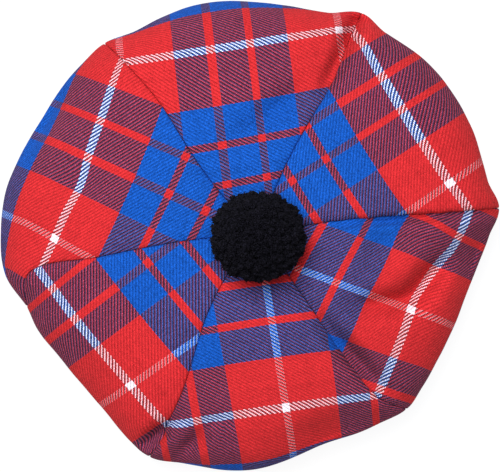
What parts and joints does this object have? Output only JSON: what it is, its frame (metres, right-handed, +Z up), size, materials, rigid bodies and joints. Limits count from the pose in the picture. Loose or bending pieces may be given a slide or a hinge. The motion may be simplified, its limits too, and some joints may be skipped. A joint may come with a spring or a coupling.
{
  "type": "tam o shanter",
  "caption": "Flat round tartan cloth cap of sewn gores that roll over a wide rim to a headband, with a black yarn pompom on top.",
  "frame": {"origin": "centre of the headband, on the surface that its lower edge stands on", "axes": "+Z up out of the crown, +Y to the back, +X to the right as seen from above"},
  "size_m": [0.2835, 0.2679, 0.1173],
  "materials": {
    "tartan_cloth": "woven wool twill in a red, blue and white check",
    "band_cloth": "the same wool twill, folded double",
    "toorie_yarn": "cut black wool yarn"
  },
  "bodies": {
    "root": {"gore_1": "tartan_cloth", "gore_2": "tartan_cloth", "gore_3": "tartan_cloth", "gore_4": "tartan_cloth", "gore_5": "tartan_cloth", "gore_6": "tartan_cloth", "headband": "band_cloth", "toorie": "toorie_yarn", "toorie_tie": "toorie_yarn"}
  },
  "joints": []
}
